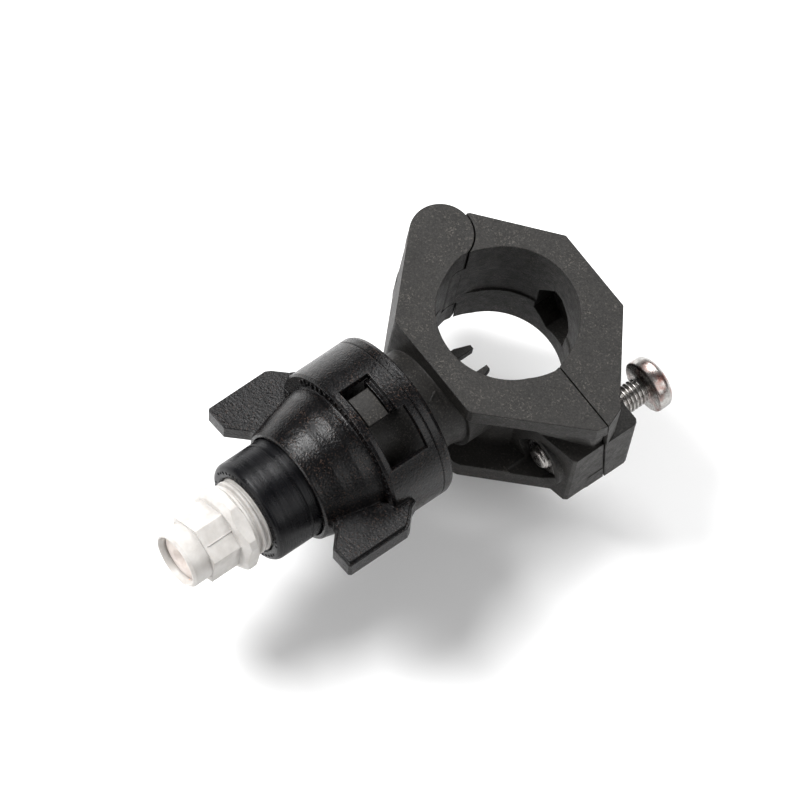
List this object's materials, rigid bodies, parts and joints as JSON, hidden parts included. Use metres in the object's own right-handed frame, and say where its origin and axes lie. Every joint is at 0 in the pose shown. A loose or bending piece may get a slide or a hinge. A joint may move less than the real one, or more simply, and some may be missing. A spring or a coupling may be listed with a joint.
{
  "type": "quick-connect spray nozzle holder",
  "caption": "Spray nozzle holder: hinged clamp for a round boom pipe, quarter-turn winged cap, and a threaded outlet adapter carrying a hex cone nozzle.",
  "frame": {"origin": "on the clamped pipe's axis, at mid depth of the clamp", "axes": "+Z along the pipe axis towards the clamp's front face, +X from the hinge to the screw ear, and the nozzle points along -Y"},
  "size_m": [0.0515, 0.093, 0.0316],
  "materials": {
    "body_plastic": "moulded, fine texture, satin",
    "cap_plastic": "moulded, satin",
    "nozzle_plastic": "moulded, natural white, satin",
    "steel": "stainless, lightly brushed",
    "rubber": "matt"
  },
  "bodies": {
    "holder": {"clamp_body": "body_plastic", "clamp_nut": "steel", "hinge_pin": "steel", "inlet_spigot": "body_plastic", "inlet_seal": "rubber", "spigot_oring": "rubber"},
    "strap": {"clamp_strap": "body_plastic"},
    "screw": {"clamp_screw": "steel"},
    "cap": {"bayonet_cap": "cap_plastic"},
    "adapter": {"outlet_adapter": "cap_plastic", "adapter_oring": "rubber", "cap_seal": "rubber"},
    "nozzle": {"nozzle_body": "nozzle_plastic", "nozzle_seal": "rubber", "nozzle_core": "nozzle_plastic", "orifice_insert": "nozzle_plastic"}
  },
  "joints": [
    {"name": "strap_hinge", "type": "hinge", "parent": "holder", "child": "strap", "pos_m": [-0.0187, -0.0002, 0], "axis": [0, 0, 1], "range_deg": [0, 9]},
    {"name": "screw_turn", "type": "hinge", "parent": "holder", "child": "screw", "pos_m": [0.0192, 0, -0.0056], "axis": [0, 1, 0], "continuous": true},
    {"name": "cap_turn", "type": "hinge", "parent": "holder", "child": "cap", "pos_m": [0, -0.03, 0], "axis": [0, 1, 0], "range_deg": [0, 80]},
    {"name": "adapter_swivel", "type": "hinge", "parent": "cap", "child": "adapter", "pos_m": [0, -0.045, 0], "axis": [0, 1, 0], "continuous": true},
    {"name": "nozzle_turn", "type": "hinge", "parent": "adapter", "child": "nozzle", "pos_m": [0, -0.06, 0], "axis": [0, 1, 0], "continuous": true}
  ]
}
